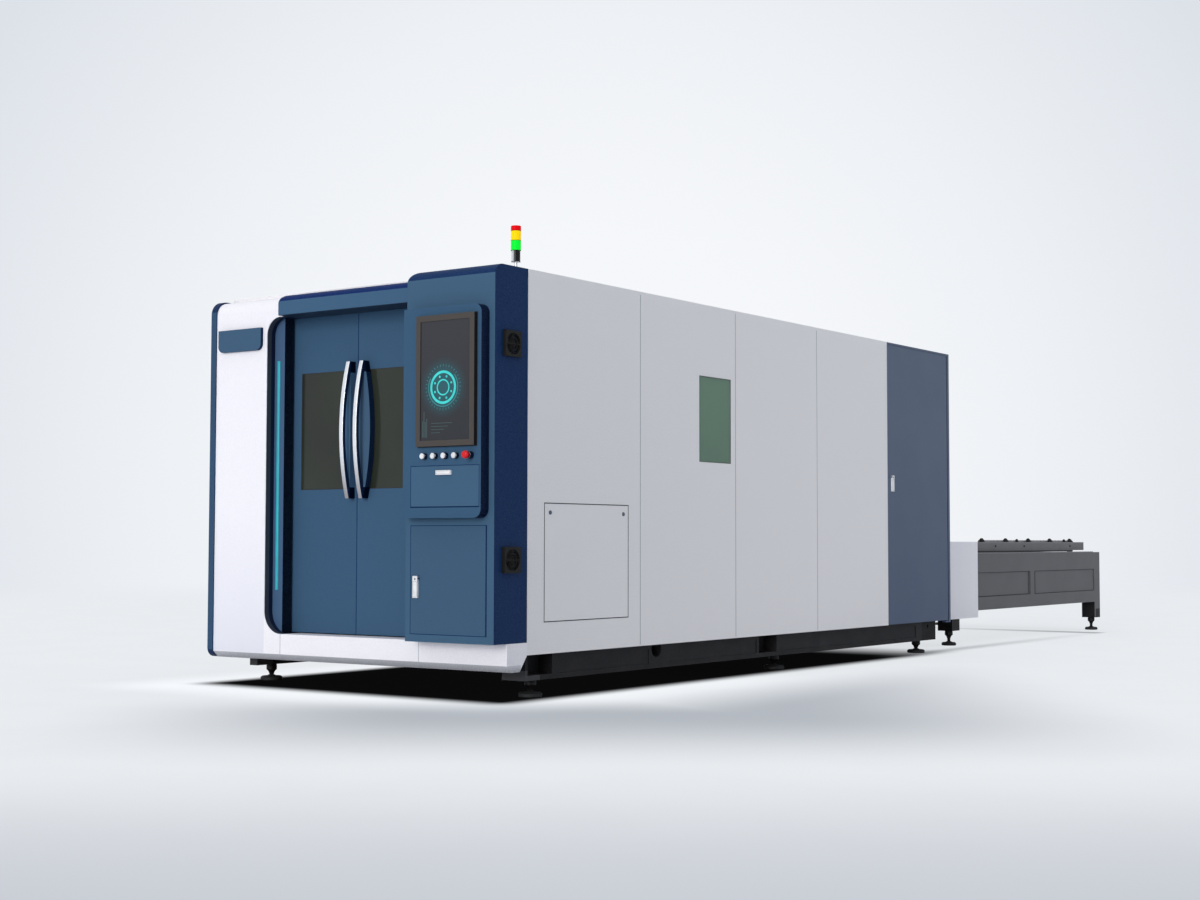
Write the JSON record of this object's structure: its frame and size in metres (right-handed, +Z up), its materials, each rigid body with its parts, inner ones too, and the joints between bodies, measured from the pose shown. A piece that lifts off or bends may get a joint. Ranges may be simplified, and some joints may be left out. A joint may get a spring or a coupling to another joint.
{
  "type": "fiber laser cutting machine",
  "caption": "Enclosed sheet-metal laser cutting machine with sliding front doors, an operator console, a gantry with a cutting head inside and a pallet shuttle table at its rear.",
  "frame": {"origin": "on the floor under the middle of the outer box", "axes": "+Z up, -Y is the front with the doors and console, +Y runs to the far end of the shuttle table, +X is the side with the fans and the rear side door"},
  "size_m": [2.188, 9.382, 2.437],
  "materials": {
    "front_blue": "satin powder coat",
    "rear_blue": "satin powder coat",
    "white_coat": "fine textured powder coat",
    "light_grey_coat": "fine textured powder coat",
    "dark_grey_coat": "matt coat",
    "table_grey": "matt coat",
    "black_steel": "satin black",
    "silver_trim": "satin",
    "bright_steel": "ground",
    "slat_steel": "mill finish",
    "beam_aluminium": "satin",
    "door_glass": "dark tinted",
    "green_glass": "green laser filter",
    "screen_glass": "gloss",
    "bezel_plastic": "fine matt",
    "black_plastic": "matt",
    "white_plastic": "gloss",
    "red_plastic": "gloss",
    "lamp_red": "clear ribbed",
    "lamp_yellow": "clear ribbed",
    "lamp_green": "clear ribbed",
    "cyan_light": "diffuser"
  },
  "bodies": {
    "machine": {"front_plinth": "white_coat", "front_left_panel": "white_coat", "left_end_cap": "front_blue", "name_plate": "front_blue", "led_panel": "front_blue", "led_strip": "cyan_light", "front_header": "front_blue", "door_track": "bright_steel", "console_cabinet": "front_blue", "control_panel": "front_blue", "monitor_frame": "bezel_plastic", "monitor_screen": "screen_glass", "button_barrels": "black_plastic", "fan_guards": "black_plastic", "right_wall_panels": "light_grey_coat", "right_window_panel": "light_grey_coat", "side_window": "green_glass", "left_wall_panels": "light_grey_coat", "access_panel": "light_grey_coat", "rear_wall": "rear_blue", "roof_panels": "light_grey_coat", "machine_bed": "dark_grey_coat", "bed_rails": "bright_steel", "levelling_feet": "black_steel", "shuttle_frame": "table_grey", "table_shrouds": "light_grey_coat", "laser_source": "white_coat", "signal_base": "bright_steel", "signal_green": "lamp_green", "signal_yellow": "lamp_yellow", "signal_red": "lamp_red"},
    "left_door": {"left_door": "front_blue", "left_door_window": "door_glass", "left_handle": "silver_trim"},
    "right_door": {"right_door": "front_blue", "right_door_window": "door_glass", "right_handle": "silver_trim"},
    "keyboard_flap": {"keyboard_flap": "front_blue", "keyboard_pull": "white_plastic"},
    "console_door": {"console_door": "front_blue"},
    "console_latch": {"console_latch": "white_plastic"},
    "start_button": {"start_button": "white_plastic"},
    "pause_button": {"pause_button": "white_plastic"},
    "stop_button": {"stop_button": "white_plastic"},
    "reset_button": {"reset_button": "white_plastic"},
    "emergency_stop": {"emergency_stop": "red_plastic"},
    "upper_fan": {"upper_fan_rotor": "black_plastic"},
    "lower_fan": {"lower_fan_rotor": "black_plastic"},
    "access_lock_front": {"access_lock_front": "black_steel"},
    "access_lock_rear": {"access_lock_rear": "black_steel"},
    "rear_side_door": {"rear_side_door": "rear_blue"},
    "rear_door_latch": {"rear_door_latch": "white_plastic"},
    "gantry": {"gantry_beam": "beam_aluminium", "beam_rails": "bright_steel"},
    "carriage": {"cross_carriage": "beam_aluminium"},
    "head": {"cutting_head": "beam_aluminium"},
    "outer_pallet": {"outer_pallet": "table_grey", "outer_slats": "slat_steel"},
    "inner_pallet": {"inner_pallet": "table_grey", "inner_slats": "slat_steel"}
  },
  "joints": [
    {"name": "left_door_slide", "type": "slide", "parent": "machine", "child": "left_door", "axis": [-1, 0, 0], "range_m": [0, 0.37]},
    {"name": "right_door_slide", "type": "slide", "parent": "machine", "child": "right_door", "axis": [1, 0, 0], "range_m": [0, 0.37]},
    {"name": "keyboard_flap_hinge", "type": "hinge", "parent": "machine", "child": "keyboard_flap", "pos_m": [0.806, -4.627, 0.985], "axis": [1, 0, 0], "range_deg": [0, 90]},
    {"name": "console_door_hinge", "type": "hinge", "parent": "machine", "child": "console_door", "pos_m": [1.017, -4.56, 0.61], "axis": [0, 0, 1], "range_deg": [0, 100]},
    {"name": "console_latch_lift", "type": "hinge", "parent": "console_door", "child": "console_latch", "pos_m": [0.5675, -4.575, 0.624], "axis": [-1, 0, 0], "range_deg": [0, 40]},
    {"name": "start_button_press", "type": "slide", "parent": "machine", "child": "start_button", "axis": [0, 1, 0], "range_m": [0, 0.0025], "stiffness_N_per_m": 400},
    {"name": "pause_button_press", "type": "slide", "parent": "machine", "child": "pause_button", "axis": [0, 1, 0], "range_m": [0, 0.0025], "stiffness_N_per_m": 400},
    {"name": "stop_button_press", "type": "slide", "parent": "machine", "child": "stop_button", "axis": [0, 1, 0], "range_m": [0, 0.0025], "stiffness_N_per_m": 400},
    {"name": "reset_button_press", "type": "slide", "parent": "machine", "child": "reset_button", "axis": [0, 1, 0], "range_m": [0, 0.0025], "stiffness_N_per_m": 400},
    {"name": "emergency_stop_press", "type": "slide", "parent": "machine", "child": "emergency_stop", "axis": [0, 1, 0], "range_m": [0, 0.0055]},
    {"name": "upper_fan_spin", "type": "hinge", "parent": "machine", "child": "upper_fan", "pos_m": [1.084, -4.4395, 1.802], "axis": [1, 0, 0], "continuous": true},
    {"name": "lower_fan_spin", "type": "hinge", "parent": "machine", "child": "lower_fan", "pos_m": [1.084, -4.4395, 0.713], "axis": [1, 0, 0], "continuous": true},
    {"name": "access_lock_front_turn", "type": "hinge", "parent": "machine", "child": "access_lock_front", "pos_m": [1.076, -4.109, 0.956], "axis": [-1, 0, 0], "range_deg": [0, 90]},
    {"name": "access_lock_rear_turn", "type": "hinge", "parent": "machine", "child": "access_lock_rear", "pos_m": [1.076, -3.446, 0.956], "axis": [1, 0, 0], "range_deg": [0, 90]},
    {"name": "rear_side_door_hinge", "type": "hinge", "parent": "machine", "child": "rear_side_door", "pos_m": [1.0575, 0.752, 1.2], "axis": [0, 0, 1], "range_deg": [0, 95]},
    {"name": "rear_door_latch_lift", "type": "hinge", "parent": "rear_side_door", "child": "rear_door_latch", "pos_m": [1.082, -0.1545, 1.265], "axis": [0, -1, 0], "range_deg": [0, 40]},
    {"name": "gantry_travel", "type": "slide", "parent": "machine", "child": "gantry", "axis": [0, 1, 0], "range_m": [0, 3.2]},
    {"name": "carriage_travel", "type": "slide", "parent": "gantry", "child": "carriage", "axis": [1, 0, 0], "range_m": [-0.65, 0.65]},
    {"name": "head_travel", "type": "slide", "parent": "carriage", "child": "head", "axis": [0, 0, -1], "range_m": [0, 0.08]},
    {"name": "outer_pallet_travel", "type": "slide", "parent": "machine", "child": "outer_pallet", "axis": [0, -1, 0], "range_m": [0, 4.527]},
    {"name": "inner_pallet_travel", "type": "slide", "parent": "machine", "child": "inner_pallet", "axis": [0, 1, 0], "range_m": [0, 4.527]}
  ],
  "couplings": [
    {"joint": "inner_pallet_travel", "follows": "outer_pallet_travel", "ratio": 1}
  ]
}
